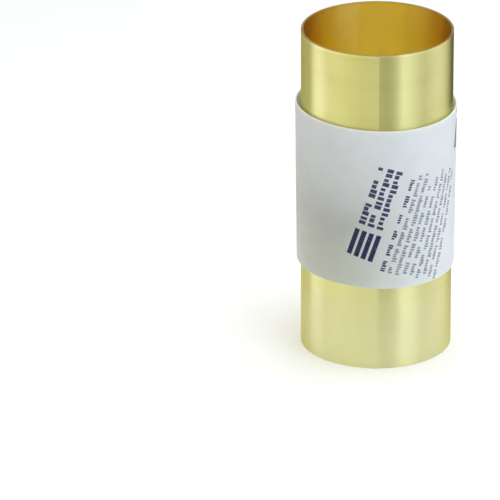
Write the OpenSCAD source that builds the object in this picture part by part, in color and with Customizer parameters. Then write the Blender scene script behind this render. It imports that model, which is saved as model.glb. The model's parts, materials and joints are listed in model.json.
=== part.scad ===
// Roll of thin brass shim stock that stands on its end, with a loose paper wrapper round its middle.
// Millimetres, +Z up along the roll. The origin is on the axis of the bore, at the level of the floor,
// and -Y is the side that faces the viewer.

/* [Strip] */
// Width of the strip, which is the height of the standing roll
strip_width = 152.4; // [76:0.1:305]
// Length of the strip that is wound into the roll
strip_length = 2540; // [1270:10:5080]
// Thickness of the strip
strip_thickness = 0.0762; // [0.0254:0.0001:0.1524]

/* [Roll] */
// Diameter over the outermost turn
roll_diameter = 68.8; // [50:0.05:110]
// Air between one turn and the next
turn_air = 0.02; // [0:0.005:0.06]
// Most that the edge of one turn stands above the others
turn_stagger = 0.12; // [0.05:0.01:0.4]
// Number of times that the edges rise and fall through the wall
stagger_waves = 5; // [1:1:7]

/* [Wrapper] */
// Height of the wrapper
wrapper_height = 76.8; // [25:0.1:120]
// How much higher than the middle of the roll the middle of the wrapper is
wrapper_rise = 2.4; // [-10:0.1:10]
// Angle by which the wrapper's edges are out of level, with its -X side up
wrapper_skew = 1.3; // [0:0.1:3]
// How much smaller the wrapper's radius is at its lower edge than at its upper edge
wrapper_taper = 0.6; // [0:0.05:1.5]
// Thickness of the paper
paper_thickness = 0.6; // [0.1:0.05:1]
// Slack at the lower edge: how much larger the wrapper's inside radius is than the roll's outside radius
wrapper_slack = 1; // [0.3:0.05:2]
// Gap left where the wrapper bears on the roll
seat_gap = 0.1; // [0.05:0.01:0.2]
// Direction of that seat, anticlockwise from +X
seat_direction = 280; // [0:1:359]
// Length of the glued lap, measured along the paper
lap_length = 14; // [6:0.5:30]
// Direction of the middle of the lap, anticlockwise from +X
lap_direction = 80; // [0:1:359]

/* [Hidden] */
$fn = 180;

// The wound strip fills a ring: its length times its pitch is pi times the mean diameter times the wall,
// and the wall is the roll's diameter less the mean diameter.
turn_pitch = strip_thickness + turn_air;
ring_product = strip_length * turn_pitch / PI;
mean_diameter = (roll_diameter + sqrt(roll_diameter * roll_diameter - 4 * ring_product)) / 2;
turns = round(strip_length / (PI * mean_diameter));
roll_radius = roll_diameter / 2;

// The wrapper sits a little above the middle of the roll and off its axis, so that it bears on one side.
wrapper_middle = strip_width / 2 + wrapper_rise;
wrapper_inner_radius = roll_radius + wrapper_slack;
wrapper_offset = wrapper_slack - seat_gap;

// The lap is a second layer of paper, whose inner half is sunk into the first as glue would join them.
lap_inner_radius = wrapper_inner_radius + paper_thickness / 2;
lap_outer_radius = wrapper_inner_radius + 2 * paper_thickness;
lap_angle = lap_length / lap_outer_radius * 180 / PI;

// The wrapper is cut from a taller sleeve by two parallel planes, which are as far out of level as its edges.
widest_radius = lap_outer_radius + wrapper_taper;
sleeve_half_height = wrapper_height / 2 + widest_radius * tan(wrapper_skew) + paper_thickness;
cut_side = 3 * widest_radius;

// Height of a turn's lower edge above the floor. The outermost and innermost turns stand on the floor.
function edge_rise(turn) = turn_stagger * abs(sin(180 * stagger_waves * turn / max(1, turns - 1)));

// Radius at which a turn begins, counted from the outermost inwards.
function turn_radius(turn) = roll_radius - turn * turn_pitch;

// The ends of all turns in section, from the outside of the roll to its bore.
function end_profile(height) = [
    for (turn = [0 : turns - 1], side = [0, 1])
        [turn_radius(turn + side), height + edge_rise(turn)]
];

// A list in reverse order, so that the outline of the section runs round in one direction.
function reversed(points) = [for (i = [len(points) - 1 : -1 : 0]) points[i]];

// How much wider the wrapper is at a height above its middle than at its lower edge.
function flare(height) = wrapper_taper * (height / wrapper_height + 0.5);

// A ring of the tapered sleeve, or a part of one that is centred on the lap.
module paper_ring(inner_radius, outer_radius, angle) {
    low = -sleeve_half_height;
    high = sleeve_half_height;
    rotate([0, 0, lap_direction - angle / 2])
        rotate_extrude(angle = angle)
            polygon([
                [inner_radius + flare(low), low],
                [outer_radius + flare(low), low],
                [outer_radius + flare(high), high],
                [inner_radius + flare(high), high]
            ]);
}

// Brass strip wound on itself: one turned solid with its bore, and the turns' edges on both ends.
module brass_roll() {
    color([0.86, 0.80, 0.45])
        rotate_extrude()
            polygon(concat(end_profile(0), reversed(end_profile(strip_width))));
}

// Paper band round the roll, with its two ends lapped and glued, and its edges a little out of level.
module paper_wrapper() {
    color([0.87, 0.88, 0.92])
        rotate([0, 0, seat_direction])
            translate([-wrapper_offset, 0, wrapper_middle])
                rotate([0, 0, -seat_direction])
                    intersection() {
                        union() {
                            paper_ring(wrapper_inner_radius, wrapper_inner_radius + paper_thickness, 360);
                            paper_ring(lap_inner_radius, lap_outer_radius, lap_angle);
                        }
                        rotate([0, wrapper_skew, 0])
                            cube([cut_side, cut_side, wrapper_height], center = true);
                    }
}

brass_roll();
paper_wrapper();
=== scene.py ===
# Looks of a standing roll of brass shim stock with a loose paper wrapper round its middle.
# Metres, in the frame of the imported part: +Z up along the roll, -Y towards the camera, floor at z = 0.
import json
import math

import bpy
import numpy as np
from mathutils import Matrix, Vector


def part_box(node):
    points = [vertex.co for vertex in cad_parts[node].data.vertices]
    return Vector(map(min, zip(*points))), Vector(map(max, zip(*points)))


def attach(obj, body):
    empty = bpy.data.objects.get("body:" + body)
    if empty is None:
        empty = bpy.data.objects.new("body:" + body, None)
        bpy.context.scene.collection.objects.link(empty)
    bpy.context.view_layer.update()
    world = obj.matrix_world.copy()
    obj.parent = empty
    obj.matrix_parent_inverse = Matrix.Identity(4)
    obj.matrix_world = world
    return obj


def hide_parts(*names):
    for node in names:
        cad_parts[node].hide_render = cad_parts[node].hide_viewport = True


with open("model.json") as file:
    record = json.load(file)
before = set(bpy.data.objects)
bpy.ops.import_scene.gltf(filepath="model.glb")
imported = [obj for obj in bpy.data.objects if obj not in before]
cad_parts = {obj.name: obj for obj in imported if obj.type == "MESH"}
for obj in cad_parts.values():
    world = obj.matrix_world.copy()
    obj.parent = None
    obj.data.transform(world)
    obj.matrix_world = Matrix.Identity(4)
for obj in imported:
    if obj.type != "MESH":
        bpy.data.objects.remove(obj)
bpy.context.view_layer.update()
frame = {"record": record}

MM = 0.001
MM_PER_METRE = 1000
FULL_TURN = 2 * math.pi

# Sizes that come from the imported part
bore = next(m for m in frame["record"]["mounts"] if m["name"] == "bore")
BORE_RADIUS = bore["dims"]["r_mm"] * MM
STRIP_WIDTH = bore["dims"]["length_mm"] * MM
roll_low, roll_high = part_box("brass_roll")
ROLL_RADIUS = (roll_high.x - roll_low.x) / 2
EDGE_STAGGER = roll_high.z - STRIP_WIDTH
wrapper_low, wrapper_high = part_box("paper_wrapper")
WRAPPER_RADIUS = (wrapper_high.x - wrapper_low.x) / 2

# The lap at the back adds to the wrapper's depth, so its centre is found from the front
WRAPPER_CENTRE = ((wrapper_high.x + wrapper_low.x) / 2, wrapper_low.y + WRAPPER_RADIUS)

# The brass strip, whose outer end springs out a little
STRIP_LENGTH = 2540 * MM
STRIP_THICKNESS = 0.0762 * MM
STRIP_END = math.radians(-88.6)
STRIP_END_LIFT = 0.3 * MM
STRIP_END_SPRUNG = 9 * MM
STAGGER_WAVES = 5
STRIP_STEPS_PER_TURN = 144
STRIP_CELLS = 8

# Slight waves in the roll's outline: how many in a turn, size in millimetres, and phase
OUT_OF_ROUND = ((2, 0.09, 0.6), (3, 0.05, 2.1), (5, 0.03, 0.4), (7, 0.02, 1.3))

# The paper wrapper: it is widest at its upper edge, and its edges drop from its centre to its +X side
PAPER_THICKNESS = 0.6 * MM
WRAPPER_TAPER = 0.6 * MM
WRAPPER_SKEW = math.tan(math.radians(1.3))
WRAPPER_DROP = WRAPPER_RADIUS * WRAPPER_SKEW
LAP_DIRECTION = math.radians(80)
LAP_LENGTH = 14 * MM
LAP_CLIMB = 6 * MM
LAP_GLUE = 0.02 * MM
WRAPPER_START = LAP_DIRECTION - LAP_LENGTH / WRAPPER_RADIUS / 2
WRAPPER_FRONT_ARC = (1.5 * math.pi - WRAPPER_START) * WRAPPER_RADIUS
PAPER_STEPS = 220
PAPER_CELLS = 10
PAPER_BULGE = 0.3 * MM
PAPER_BULGE_COUNT = 3
PAPER_BULGE_DIRECTION = math.radians(292)

# Waves of the paper's edges: size, and for each edge how many in a turn and their phase
PAPER_EDGE_WAVE = 0.12 * MM
LOWER_EDGE_WAVES = (2, 0.9)
UPPER_EDGE_WAVES = (3, 2.2)

# Edges between faces that meet at more than this angle stay sharp
SHARP_ANGLE = math.radians(35)

# Camera, as fitted to the rims and sides of the roll
IMAGE_SIDE = 500
FOCAL_PIXELS = 5493
SENSOR_WIDTH = 36
CAMERA_DISTANCE = 2.5
CAMERA_ELEVATION = math.radians(22.932)
CAMERA_PITCH = math.radians(23.614)
CAMERA_YAW = math.radians(-1.436)
CAMERA_ROLL = math.radians(-0.236)


class Field:
    """A value in a shader's node tree. Arithmetic on it adds Math nodes."""

    def __init__(self, tree, socket):
        self.tree = tree
        self.socket = socket

    def math(self, operation, *others):
        node = self.tree.nodes.new("ShaderNodeMath")
        node.operation = operation
        for place, value in enumerate((self,) + others):
            put(self.tree, node.inputs[place], value)
        return Field(self.tree, node.outputs["Value"])

    def __add__(self, other):
        return self.math("ADD", other)

    def __sub__(self, other):
        return self.math("SUBTRACT", other)

    def __mul__(self, other):
        return self.math("MULTIPLY", other)

    def __truediv__(self, other):
        return self.math("DIVIDE", other)

    def __lt__(self, other):
        return self.math("LESS_THAN", other)

    def __gt__(self, other):
        return self.math("GREATER_THAN", other)

    def floor(self):
        return self.math("FLOOR")

    def fraction(self):
        return self.math("FRACT")

    def larger(self, other):
        return self.math("MAXIMUM", other)

    def between(self, low, high):
        """1 between low and high, and 0 outside them."""
        return (self > low) * (self < high)

    def ramp(self, low, high):
        """0 on low's side, 1 on high's side and smooth between them."""
        node = self.tree.nodes.new("ShaderNodeMapRange")
        node.interpolation_type = "SMOOTHSTEP"
        put(self.tree, node.inputs["Value"], self)
        node.inputs["From Min"].default_value = low
        node.inputs["From Max"].default_value = high
        return Field(self.tree, node.outputs["Result"])

    def mixed(self, first, second):
        """A colour that goes from first to second as the value goes from 0 to 1."""
        node = self.tree.nodes.new("ShaderNodeMix")
        node.data_type = "RGBA"
        put(self.tree, node.inputs["Factor"], self)
        put(self.tree, node.inputs["A"], first)
        put(self.tree, node.inputs["B"], second)
        return Field(self.tree, node.outputs["Result"])


def put(tree, socket, value):
    """Links a field to a socket, or sets a plain number or colour on it."""
    if isinstance(value, Field):
        tree.links.new(value.socket, socket)
    elif isinstance(value, tuple):
        socket.default_value = (*value, 1)
    else:
        socket.default_value = value


def vector_of(tree, x, y, z):
    node = tree.nodes.new("ShaderNodeCombineXYZ")
    for name, value in zip("XYZ", (x, y, z)):
        put(tree, node.inputs[name], value)
    return Field(tree, node.outputs["Vector"])


def parts_of(tree, vector):
    node = tree.nodes.new("ShaderNodeSeparateXYZ")
    put(tree, node.inputs["Vector"], vector)
    return [Field(tree, node.outputs[name]) for name in "XYZ"]


def noise(tree, vector, scale=1.0, detail=2.0):
    node = tree.nodes.new("ShaderNodeTexNoise")
    put(tree, node.inputs["Vector"], vector)
    node.inputs["Scale"].default_value = scale
    node.inputs["Detail"].default_value = detail
    return Field(tree, node.outputs["Fac"])


def random_by(tree, value):
    """A number from 0 to 1 that is drawn anew for each value."""
    node = tree.nodes.new("ShaderNodeTexWhiteNoise")
    node.noise_dimensions = "1D"
    put(tree, node.inputs["W"], value)
    return Field(tree, node.outputs["Value"])


def object_place(tree):
    node = tree.nodes.new("ShaderNodeTexCoord")
    return Field(tree, node.outputs["Object"])


def new_material(name):
    material = bpy.data.materials.new(name)
    material.use_nodes = True
    shader = material.node_tree.nodes["Principled BSDF"]
    return material, material.node_tree, shader


def bump(tree, shader, height, strength, distance):
    node = tree.nodes.new("ShaderNodeBump")
    put(tree, node.inputs["Height"], height)
    node.inputs["Strength"].default_value = strength
    node.inputs["Distance"].default_value = distance
    tree.links.new(node.outputs["Normal"], shader.inputs["Normal"])


# Patterns on the brass: scale of the noise round the roll, its scale up the roll, and its detail
ROLLING_LINES = (30, 2600, 3)
ROLLING_BANDS = (12, 260, 2)
TARNISH_PATCHES = (70, 38, 4)

# Values of the noise between which tarnish sets in, and how strong it is
PATCH_RANGE = (0.42, 0.75)
PATCH_TARNISH = 0.6
BAND_RANGE = (0.5, 0.7)
BAND_TARNISH = 0.25

LINE_ROUGHNESS = 0.06
PATCH_ROUGHNESS = 0.05
LINE_BUMP = 0.12
LINE_RELIEF = 0.02 * MM
HIGHLIGHT_TURN = 0.25
# A band along the strip's upper edge is painted in its own colour, as a highlight on the outer face
PAINTED_RIM_DEPTH = 1.6 * MM
# Painted reflection of the pale floor: the lower end goes paler and greyer below this height
FLOOR_REFLECTION_HEIGHT = 45 * MM
FLOOR_REFLECTION_BRASS = (0.735, 0.70, 0.46)

# The strip's two faces: colours (the rim's is a painted highlight on the outside), share of painted floor
# reflection low down, grazing tint, least roughness
OUTER_FACE = {
    "clean": (0.81, 0.78, 0.37),
    "tarnished": (0.75, 0.69, 0.30),
    "painted_rim": (0.93, 0.87, 0.44),
    "floor_reflection": 0.5,
    "grazing": (0.9, 0.85, 0.5),
    "roughness": 0.27,
}
INNER_FACE = {
    "clean": (0.975, 0.905, 0.47),
    "tarnished": (0.925, 0.815, 0.38),
    "painted_rim": (0.93, 0.82, 0.42),
    "floor_reflection": 0.0,
    "grazing": (1.0, 0.9, 0.6),
    "roughness": 0.12,
}


def brass_material(name, clean, tarnished, painted_rim, floor_reflection, grazing, roughness):
    """Rolled brass: fine lines along the strip, so highlights stretch up and down, faint tarnish, a band
    along the upper edge painted in a rim colour, lighter on the outer face as a painted highlight, and a
    lower end that may take a paler painted reflection of the floor."""
    material, tree, shader = new_material(name)
    x, y, z = parts_of(tree, object_place(tree))

    def pattern(around, up, detail):
        return noise(tree, vector_of(tree, x * around, y * around, z * up), detail=detail)

    lines = pattern(*ROLLING_LINES)
    bands = pattern(*ROLLING_BANDS)
    patches = pattern(*TARNISH_PATCHES)
    # Painted highlight: a band along the upper edge takes the rim colour
    painted_rim_share = (z * -1 + STRIP_WIDTH).ramp(PAINTED_RIM_DEPTH, 0.0)
    tarnish = patches.ramp(*PATCH_RANGE) * PATCH_TARNISH + bands.ramp(*BAND_RANGE) * BAND_TARNISH
    # Painted reflection of the floor: the lower end goes paler and greyer
    floor_reflection_share = z.ramp(FLOOR_REFLECTION_HEIGHT, FLOOR_REFLECTION_HEIGHT / 2) * floor_reflection
    painted_light_mix = floor_reflection_share.mixed(tarnish.mixed(clean, tarnished), FLOOR_REFLECTION_BRASS)
    put(tree, shader.inputs["Base Color"], painted_rim_share.mixed(painted_light_mix, painted_rim))
    put(tree, shader.inputs["Specular Tint"], grazing)
    put(tree, shader.inputs["Roughness"], lines * LINE_ROUGHNESS + patches * PATCH_ROUGHNESS + roughness)
    shader.inputs["Metallic"].default_value = 1.0
    shader.inputs["Anisotropic"].default_value = 1.0
    shader.inputs["Anisotropic Rotation"].default_value = HIGHLIGHT_TURN
    tangent = tree.nodes.new("ShaderNodeTangent")
    tangent.direction_type = "RADIAL"
    tangent.axis = "Z"
    tree.links.new(tangent.outputs["Tangent"], shader.inputs["Tangent"])
    bump(tree, shader, lines, LINE_BUMP, LINE_RELIEF)
    return material


EDGE_MARK_SCALE = 1800
# The slit edges' colours are painted darker than the faces, as shade along the rim
SHADED_EDGE_BRASS = (0.42, 0.33, 0.11)
SHADED_EDGE_MARKS = (0.30, 0.23, 0.07)
EDGE_ROUGHNESS = 0.35
EDGE_MARK_ROUGHNESS = 0.15


def brass_edge_material():
    """The slit edges of the strip: rougher than its faces and painted darker, as shade along the rim, with
    fine marks across the thickness.
    """
    material, tree, shader = new_material("brass_cut_edge")
    marks = noise(tree, object_place(tree), scale=EDGE_MARK_SCALE, detail=2)
    put(tree, shader.inputs["Base Color"], marks.mixed(SHADED_EDGE_BRASS, SHADED_EDGE_MARKS))
    put(tree, shader.inputs["Roughness"], marks * EDGE_MARK_ROUGHNESS + EDGE_ROUGHNESS)
    shader.inputs["Metallic"].default_value = 1.0
    return material


# Paper: how fine its fibres and clouding are, how much each shades it, and the depth to which light enters it
FIBRE_SCALE = 1900
FIBRE_SHADE = 0.35
FIBRE_ROUGHNESS = 0.12
FIBRE_BUMP = 0.25
FIBRE_RELIEF = 0.03 * MM
CLOUD_SCALE = 90
CLOUD_RANGE = (0.3, 0.75)
CLOUD_SHADE = 0.65
SHADED_SHARE = 0.93
PAPER_ROUGHNESS = 0.5
PAPER_SPECULAR = 0.35
PAPER_SUBSURFACE = 0.8
PAPER_SUBSURFACE_REACH = (1.0, 0.95, 0.85)
PRINTED_PAPER = {"colour": (0.88, 0.89, 0.89), "depth": 0.6 * MM}
INSIDE_PAPER = {"colour": (0.95, 0.93, 0.86), "depth": 2.5 * MM}
# The cut edges are painted a lighter cream than the faces, as a highlight along them
HIGHLIGHTED_CUT_PAPER = {"colour": (0.95, 0.91, 0.84), "depth": 0.6 * MM}


def paper_finish(tree, shader, colour, depth):
    """Smooth paper that light enters to some depth: sets its gloss and the bump of its fibres, and gives its
    colour, with faint clouding."""
    place = object_place(tree)
    fibres = noise(tree, place, scale=FIBRE_SCALE, detail=4)
    clouds = noise(tree, place, scale=CLOUD_SCALE, detail=3)
    shade = fibres * FIBRE_SHADE + clouds.ramp(*CLOUD_RANGE) * CLOUD_SHADE
    put(tree, shader.inputs["Roughness"], fibres * FIBRE_ROUGHNESS + PAPER_ROUGHNESS)
    shader.inputs["Specular IOR Level"].default_value = PAPER_SPECULAR
    shader.inputs["Subsurface Weight"].default_value = PAPER_SUBSURFACE
    shader.inputs["Subsurface Radius"].default_value = PAPER_SUBSURFACE_REACH
    shader.inputs["Subsurface Scale"].default_value = depth
    bump(tree, shader, fibres, FIBRE_BUMP, FIBRE_RELIEF)
    shaded = tuple(channel * SHADED_SHARE for channel in colour)
    return shade.mixed(colour, shaded)


def paper_material(name, colour, depth):
    material, tree, shader = new_material(name)
    put(tree, shader.inputs["Base Color"], paper_finish(tree, shader, colour, depth))
    return material


# Print on the wrapper, in millimetres: slanted blocks of plain dashes, each with a mark of four plain bars.
# A block's place is that of its mark: arc from the front towards +X, and height above the floor.
# In a block, a place is the distance across its rows and along them, from the middle of the mark.
PRINT_SLANT = math.radians(18)
PRINT_BLOCKS = ((-8.2, 61.2), (52.4, 102.2))
MARK_SIDE = 13.4
MARK_BARS = 4
MARK_BAR_SHARE = 0.66
HEADING = {
    "rows": 3, "start": (-6.2, 9.6), "pitch": 4.2, "height": 3.0,
    "length": 33, "dash": 2.3, "word": 6, "bold": 3,
}
TEXT = {
    "rows": 9, "start": (10.2, -9.5), "pitch": 3.5, "height": 2.0,
    "length": 52, "dash": 1.15, "word": 7, "bold": 1,
}

# How the dashes vary: least share of its place that a dash or a group of them takes, and the spread above it
DASH_WIDTH = (0.6, 0.3)
GROUP_WIDTH = (0.68, 0.25)
LOW_DASH = 0.7
TALL_FROM = 0.6
ROW_SPREAD = 0.15

# Seeds that keep the print's random draws apart
ROW_SEED = 61
ROW_END_SEED = 3.7
GROUP_SHIFT_SEED = 0.3
GROUP_WIDTH_SEED = 0.25
DASH_HEIGHT_SEED = 0.5

# Ink: its colour, how densely it is printed, and the grain of the paper that shows through it
PRINT_INK = (0.018, 0.022, 0.13)
PLAIN_INK = 0.65
BOLD_INK = 0.3
INK_GRAIN_SCALE = 1400
INK_GRAIN_RANGE = (0.2, 0.45)
INK_GRAIN = 0.2

# A highlight painted along the wrapper's upper edge: its colour, and the depth it reaches
EDGE_HIGHLIGHT_PAPER = (0.99, 0.96, 0.89)
EDGE_HIGHLIGHT_DEPTH = 1.4 * MM


def dashes(tree, across, along, rows, start, pitch, height, length, dash, word, bold):
    """Ink of a paragraph of plain dashes. Its rows are broken into groups of dashes, which differ in width
    and height, and a group and the gap after it have room for as many dashes as word says. The first rows,
    as many as bold, are darker than the rest."""
    place = (across - start[0]) / pitch
    row = place.floor()
    step = (along - start[1]) / dash
    row_draw = random_by(tree, row + rows * ROW_END_SEED)
    row_end = row_draw * (length * -ROW_SPREAD / dash) + length / dash
    group = step.floor() / word + random_by(tree, row + GROUP_SHIFT_SEED)
    group_draw = random_by(tree, group.floor() + row * ROW_SEED + GROUP_WIDTH_SEED)
    in_group = group.fraction() < group_draw * GROUP_WIDTH[1] + GROUP_WIDTH[0]
    inside = place.between(0, rows) * (step.floor() + 1).between(0, row_end) * in_group
    dash_seed = step.floor() + row * ROW_SEED
    dash_width = random_by(tree, dash_seed) * DASH_WIDTH[1] + DASH_WIDTH[0]
    tall = random_by(tree, dash_seed + DASH_HEIGHT_SEED) > TALL_FROM
    dash_height = tall * (height * (1 - LOW_DASH) / pitch) + height * LOW_DASH / pitch
    shape = (place.fraction() < dash_height) * (step.fraction() < dash_width)
    return inside * shape * ((row < bold) * BOLD_INK + PLAIN_INK)


def print_block(tree, arc, height, place):
    """Ink of one block of print."""
    arc = arc - place[0]
    height = height - place[1]
    across = arc * math.cos(PRINT_SLANT) - height * math.sin(PRINT_SLANT)
    along = arc * math.sin(PRINT_SLANT) + height * math.cos(PRINT_SLANT)
    half = MARK_SIDE / 2
    bar = ((across + half) * (MARK_BARS / MARK_SIDE)).fraction() < MARK_BAR_SHARE
    mark = across.between(-half, half) * along.between(-half, half) * bar
    return mark.larger(dashes(tree, across, along, **HEADING)).larger(dashes(tree, across, along, **TEXT))


def printed_paper_material():
    """The wrapper's outside: paper with print on it, with a highlight painted along its upper edge."""
    material, tree, shader = new_material("wrapper_printed_face")
    strip = tree.nodes.new("ShaderNodeUVMap")
    strip.uv_map = "strip"
    travelled, height, _ = parts_of(tree, Field(tree, strip.outputs["UV"]))
    arc = (travelled - WRAPPER_FRONT_ARC) * MM_PER_METRE
    height = height * MM_PER_METRE
    blocks = [print_block(tree, arc, height, place) for place in PRINT_BLOCKS]
    ink = blocks[0]
    for block in blocks[1:]:
        ink = ink.larger(block)
    grain = noise(tree, object_place(tree), scale=INK_GRAIN_SCALE, detail=2).ramp(*INK_GRAIN_RANGE)
    x, _, z = parts_of(tree, object_place(tree))
    upper_edge = (x - WRAPPER_CENTRE[0]) * -WRAPPER_SKEW + (wrapper_high.z - WRAPPER_DROP)
    # Painted highlight: the paper goes lighter near its upper edge
    painted_light_mix = (upper_edge - z).ramp(EDGE_HIGHLIGHT_DEPTH, 0.0)
    paper = painted_light_mix.mixed(paper_finish(tree, shader, **PRINTED_PAPER), EDGE_HIGHLIGHT_PAPER)
    inked = ink * (grain * INK_GRAIN + (1 - INK_GRAIN))
    put(tree, shader.inputs["Base Color"], inked.mixed(paper, PRINT_INK))
    return material


def add_object(name, data):
    piece = bpy.data.objects.new(name, data)
    bpy.context.scene.collection.objects.link(piece)
    return piece


def add_mesh(name, points, faces, material):
    mesh = bpy.data.meshes.new(name)
    mesh.from_pydata(points, [], faces)
    mesh.materials.append(material)
    return add_object(name, mesh)


def wound_strip(name, centre, angles, radii, thickness, low, high, cells, materials, flare=0.0):
    """A flat strip wound round the vertical through centre, as a closed mesh. radii is its middle line, and
    low and high are the heights of its edges at each angle. It is wider by flare at its upper edge. The
    materials are those of its outside, inside and edges."""
    middle = np.stack([radii * np.cos(angles), radii * np.sin(angles)], 1) + np.array(centre)
    along = np.gradient(middle, axis=0)
    along /= np.linalg.norm(along, axis=1)[:, None]
    outward = np.stack([along[:, 1], -along[:, 0]], 1)[:, None]
    travelled = np.concatenate([[0], np.cumsum(np.linalg.norm(np.diff(middle, axis=0), axis=1))])
    share = np.linspace(0, 1, cells + 1)
    heights = (low[:, None] + (high - low)[:, None] * share)[:, :, None]
    lean = (share * flare)[None, :, None]
    outside = np.concatenate([middle[:, None] + outward * (lean + thickness / 2), heights], 2)
    inside = np.concatenate([middle[:, None] + outward * (lean - thickness / 2), heights], 2)
    rings = np.concatenate([outside, inside[:, ::-1]], 1)
    steps, around = rings.shape[:2]
    outer_slot, inner_slot, edge_slot = range(3)

    def corner(step, place):
        return step * around + place % around

    def slot_of(place):
        if place < cells:
            return outer_slot
        return inner_slot if cells < place < around - 1 else edge_slot

    faces = []
    slots = []
    for step in range(steps - 1):
        for place in range(around):
            here = corner(step, place)
            above = corner(step, place + 1)
            faces.append((here, corner(step + 1, place), corner(step + 1, place + 1), above))
            slots.append(slot_of(place))
    for step, order in ((0, 1), (steps - 1, -1)):
        for place in range(cells):
            back = around - 1 - place
            ends = (place, place + 1, back - 1, back)
            faces.append(tuple(corner(step, p) for p in ends[::order]))
            slots.append(edge_slot)

    mesh = bpy.data.meshes.new(name)
    mesh.from_pydata(rings.reshape(-1, 3).tolist(), [], faces)
    mesh.polygons.foreach_set("material_index", slots)
    mesh.polygons.foreach_set("use_smooth", [True] * len(faces))
    mesh.set_sharp_from_angle(angle=SHARP_ANGLE)
    map_points = np.stack([np.repeat(travelled, around), rings[:, :, 2].ravel()], 1)
    corners = np.empty(len(mesh.loops), int)
    mesh.loops.foreach_get("vertex_index", corners)
    mesh.uv_layers.new(name="strip").uv.foreach_set("vector", map_points[corners].ravel())
    for material in materials:
        mesh.materials.append(material)
    return add_object(name, mesh)


def smooth(share):
    """0 up to 0, 1 from 1 on and smooth between them."""
    share = np.clip(share, 0, 1)
    return share * share * (3 - 2 * share)


def out_of_round(angles):
    """How far the roll departs from a true circle: it is slightly oval, with a few long waves."""
    return sum(size * MM * np.cos(count * angles + phase) for count, size, phase in OUT_OF_ROUND)


def build_roll(materials):
    """The wound strip, from its inner end to its outer end, which springs out a little."""
    mean_diameter = BORE_RADIUS + ROLL_RADIUS
    turns = STRIP_LENGTH / (math.pi * mean_diameter)
    pitch = (ROLL_RADIUS - BORE_RADIUS - STRIP_THICKNESS) / turns
    steps = round(turns * STRIP_STEPS_PER_TURN)
    wound = np.linspace(0, turns, steps + 1)
    angles = STRIP_END + (wound - turns) * FULL_TURN
    to_end = (turns - wound) * FULL_TURN * ROLL_RADIUS
    lift = STRIP_END_LIFT * np.clip(1 - to_end / STRIP_END_SPRUNG, 0, 1) ** 2
    radii = BORE_RADIUS + STRIP_THICKNESS / 2 + wound * pitch + out_of_round(angles) + lift
    rise = EDGE_STAGGER * np.abs(np.sin(math.pi * STAGGER_WAVES * wound / turns))
    return wound_strip(
        "wound_brass_strip", (0, 0), angles, radii, STRIP_THICKNESS,
        rise, rise + STRIP_WIDTH, STRIP_CELLS, materials
    )


def edge_waves(angles, count, phase):
    return PAPER_EDGE_WAVE * np.sin(count * angles + phase)


def build_wrapper(materials):
    """The paper band, whose outer end laps over its inner end at the back. Its edges are a little out of
    level."""
    lap = LAP_LENGTH / WRAPPER_RADIUS
    wound = np.linspace(0, FULL_TURN + lap, PAPER_STEPS + 1)
    angles = WRAPPER_START + wound
    climbed = smooth((wound - FULL_TURN) * WRAPPER_RADIUS / LAP_CLIMB + 1)
    bulge = PAPER_BULGE * np.cos(PAPER_BULGE_COUNT * (angles - PAPER_BULGE_DIRECTION))
    lower_radius = WRAPPER_RADIUS - WRAPPER_TAPER - PAPER_THICKNESS / 2
    radii = lower_radius + bulge + climbed * (PAPER_THICKNESS + LAP_GLUE)
    lean = -WRAPPER_DROP * np.cos(angles)
    low = wrapper_low.z + WRAPPER_DROP + lean + edge_waves(angles, *LOWER_EDGE_WAVES)
    high = wrapper_high.z - WRAPPER_DROP + lean + edge_waves(angles, *UPPER_EDGE_WAVES)
    return wound_strip(
        "lapped_paper_band", WRAPPER_CENTRE, angles, radii, PAPER_THICKNESS,
        low, high, PAPER_CELLS, materials, flare=WRAPPER_TAPER
    )


def hide_from(piece, *kinds):
    """Makes a piece of the studio invisible to some kinds of rays."""
    for kind in kinds:
        setattr(piece, f"visible_{kind}", False)


def emission_material(name):
    material = bpy.data.materials.new(name)
    material.use_nodes = True
    tree = material.node_tree
    tree.nodes.clear()
    shader = tree.nodes.new("ShaderNodeEmission")
    output = tree.nodes.new("ShaderNodeOutputMaterial")
    tree.links.new(shader.outputs["Emission"], output.inputs["Surface"])
    return material, tree, shader


# What stands in the studio starts this far above the floor
FOOT = 1 * MM

# Light of the tent's wall by direction: degrees from the camera's side towards +X, brightness, share of blue
TENT_RADIUS = 0.13
TENT_HEIGHT = 0.45
TENT_SIDES = 96
TENT_STOPS = (
    (-180, 0.85, 1.0), (-162, 0.75, 0.95), (-142, 0.47, 0.92), (-122, 0.57, 0.78), (-103, 0.58, 0.73),
    (-97, 1.19, 1.05), (-87, 1.27, 1.08), (-78, 1.13, 1.0), (-72, 0.93, 0.80), (-56, 0.93, 0.78),
    (-33, 0.81, 0.69), (-20, 0.73, 0.70), (-2, 0.69, 0.83), (3.5, 0.43, 0.73), (12, 0.41, 0.70),
    (19, 0.47, 0.76), (27, 0.65, 0.90), (34, 0.97, 1.0), (44, 0.83, 0.95), (54, 0.70, 0.87),
    (65, 0.68, 0.86), (76, 0.81, 0.98), (90, 0.96, 1.02), (104, 0.95, 1.0), (118, 0.63, 0.95),
    (130, 0.15, 1.0), (146, 0.16, 1.0), (162, 0.65, 1.0), (180, 0.85, 1.0),
)


def tent_material():
    material, tree, shader = emission_material("tent_light")
    x, y, _ = parts_of(tree, object_place(tree))
    direction = x.math("ARCTAN2", y * -1) / FULL_TURN + 0.5
    ramp = tree.nodes.new("ShaderNodeValToRGB")
    put(tree, ramp.inputs["Fac"], direction)
    ramp.color_ramp.interpolation = "EASE"
    stops = ramp.color_ramp.elements
    for degrees, _, _ in TENT_STOPS[1:-1]:
        stops.new(degrees / 360 + 0.5)
    for stop, (_, brightness, blue) in zip(stops, TENT_STOPS):
        stop.color = (brightness, brightness, brightness * blue, 1)
    tree.links.new(ramp.outputs["Color"], shader.inputs["Color"])
    return material


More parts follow.
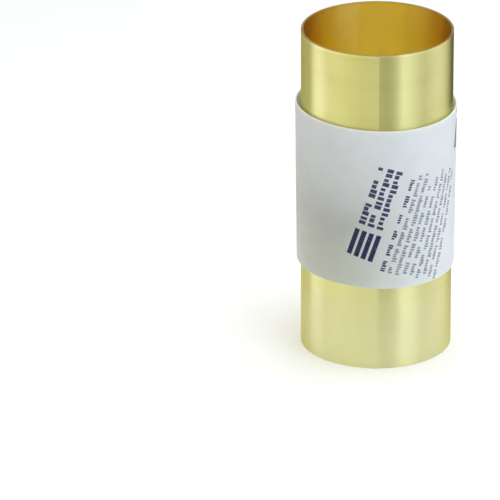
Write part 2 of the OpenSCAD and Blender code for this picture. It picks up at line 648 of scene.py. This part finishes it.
def build_tent():
    """A round wall of light that only the brass reflects, as a product photographer's tent and cards would
    show."""
    directions = [FULL_TURN * side / TENT_SIDES for side in range(TENT_SIDES)]
    circle = [(TENT_RADIUS * math.cos(a), TENT_RADIUS * math.sin(a)) for a in directions]
    points = [(x, y, z) for z in (FOOT, TENT_HEIGHT) for x, y in circle]
    pairs = [(side, (side + 1) % TENT_SIDES) for side in range(TENT_SIDES)]
    faces = [(here, after, TENT_SIDES + after, TENT_SIDES + here) for here, after in pairs]
    tent = add_mesh("light_tent", points, faces, tent_material())
    hide_from(tent, "camera", "diffuse", "transmission", "volume_scatter", "shadow")


FLOOR_HALF_SIDE = 4.0
FLOOR_PALE = (0.93, 0.93, 0.93)
FLOOR_GREY = (0.91, 0.91, 0.91)
FLOOR_GRAIN_SCALE = 40
FLOOR_ROUGHNESS = 0.8
FLOOR_SPECULAR = 0.2
FLOOR_GLOW = 0.12


def build_floor():
    """A wide pale floor that glows faintly, as a light table does, so that shadows on it stay faint."""
    material, tree, shader = new_material("pale_floor")
    grain = noise(tree, object_place(tree), scale=FLOOR_GRAIN_SCALE, detail=3)
    put(tree, shader.inputs["Base Color"], grain.mixed(FLOOR_PALE, FLOOR_GREY))
    put(tree, shader.inputs["Emission Color"], (1.0, 1.0, 1.0))
    shader.inputs["Emission Strength"].default_value = FLOOR_GLOW
    shader.inputs["Roughness"].default_value = FLOOR_ROUGHNESS
    shader.inputs["Specular IOR Level"].default_value = FLOOR_SPECULAR
    half = FLOOR_HALF_SIDE
    points = [(-half, -half, 0), (half, -half, 0), (half, half, 0), (-half, half, 0)]
    floor = add_mesh("floor", points, [(0, 1, 2, 3)], material)


CARD_ENDS = ((0.02, -0.085), (-0.11, -0.02))
CARD_HEIGHT = 0.068
CARD_PALE = (0.56, 0.57, 0.44)
CARD_DARK = (0.52, 0.53, 0.40)
CARD_GRAIN_SCALE = 60


def build_card():
    """A low grey card at the left front, which keeps some of the floor's light off the wrapper there."""
    material, tree, shader = new_material("card_face")
    grain = noise(tree, object_place(tree), scale=CARD_GRAIN_SCALE, detail=2)
    put(tree, shader.inputs["Base Color"], grain.mixed(CARD_PALE, CARD_DARK))
    near, far = CARD_ENDS
    points = [(*near, FOOT), (*far, FOOT), (*far, CARD_HEIGHT), (*near, CARD_HEIGHT)]
    card = add_mesh("grey_card", points, [(0, 1, 2, 3)], material)
    hide_from(card, "camera", "glossy", "transmission", "volume_scatter", "shadow")


# Soft square lights that point at the middle of the roll: place, side, power in watts, and colour
OVERHEAD_SOFTBOX = {"place": (0.1, 0.1, 1.6), "side": 1.3, "power": 23, "colour": (1.0, 1.0, 1.0)}
RIGHT_SOFTBOX = {"place": (1.1, -0.9, 0.7), "side": 0.9, "power": 6.9, "colour": (0.64, 0.83, 1.0)}
LEFT_FILL = {"place": (-0.28, -0.16, 0.3), "side": 0.2, "power": 0.07, "colour": (1.0, 1.0, 0.86)}
WORLD_STRENGTH = 0.22


def area_light(name, place, side, power, colour):
    light = bpy.data.lights.new(name, "AREA")
    light.shape = "SQUARE"
    light.size = side
    light.energy = power
    light.color = colour
    lamp = add_object(name, light)
    lamp.location = place
    to_roll = Vector((0, 0, STRIP_WIDTH / 2)) - Vector(place)
    lamp.rotation_euler = to_roll.to_track_quat("-Z", "Y").to_euler()
    hide_from(lamp, "camera")
    return lamp


def build_light():
    """Soft white surroundings and three soft lights. The left one is for the paper, so the brass doesn't
    mirror it."""
    world = bpy.data.worlds.new("studio")
    world.use_nodes = True
    background = world.node_tree.nodes["Background"]
    background.inputs["Color"].default_value = (1.0, 1.0, 1.0, 1)
    background.inputs["Strength"].default_value = WORLD_STRENGTH
    area_light("overhead_softbox", **OVERHEAD_SOFTBOX)
    area_light("right_softbox", **RIGHT_SOFTBOX)
    hide_from(area_light("left_fill", **LEFT_FILL), "glossy")
    scene = bpy.context.scene
    scene.world = world
    scene.view_settings.view_transform = "Standard"


MOST_BOUNCES = 24
MIRROR_BOUNCES = 20
DIFFUSE_BOUNCES = 6
BRIGHTEST_BOUNCE = 6.0


def set_bounces():
    """Lets light bounce often enough for the inside of the bore, which mirrors itself many times."""
    cycles = bpy.context.scene.cycles
    cycles.max_bounces = MOST_BOUNCES
    cycles.glossy_bounces = MIRROR_BOUNCES
    cycles.diffuse_bounces = DIFFUSE_BOUNCES
    cycles.sample_clamp_indirect = BRIGHTEST_BOUNCE


def build_camera():
    """The camera stands in front of the roll, at its elevation from the roll's middle, and is turned by its
    own pitch, yaw and roll."""
    pitch, yaw = CAMERA_PITCH, CAMERA_YAW
    forward = Vector((math.sin(yaw) * math.cos(pitch), math.cos(yaw) * math.cos(pitch), -math.sin(pitch)))
    level = forward.cross(Vector((0, 0, 1))).normalized()
    right = Matrix.Rotation(-CAMERA_ROLL, 3, forward) @ level
    up = right.cross(forward)
    turned = Matrix((right, up, -forward)).transposed().to_4x4()
    back = CAMERA_DISTANCE * math.cos(CAMERA_ELEVATION)
    height = CAMERA_DISTANCE * math.sin(CAMERA_ELEVATION) + STRIP_WIDTH / 2
    data = bpy.data.cameras.new("camera")
    data.sensor_width = SENSOR_WIDTH
    data.lens = FOCAL_PIXELS / IMAGE_SIDE * SENSOR_WIDTH
    camera = add_object("camera", data)
    camera.matrix_world = Matrix.Translation((0, -back, height)) @ turned
    bpy.context.scene.camera = camera


build_camera()
build_light()
set_bounces()
build_floor()
build_card()
build_tent()

outside = brass_material("brass_outside", **OUTER_FACE)
bore_side = brass_material("brass_bore", **INNER_FACE)
roll = build_roll([outside, bore_side, brass_edge_material()])
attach(roll, "root")
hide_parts("brass_roll")

plain = paper_material("wrapper_inside", **INSIDE_PAPER)
cut = paper_material("wrapper_cut_edge", **HIGHLIGHTED_CUT_PAPER)
wrapper = build_wrapper([printed_paper_material(), plain, cut])
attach(wrapper, "root")
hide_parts("paper_wrapper")
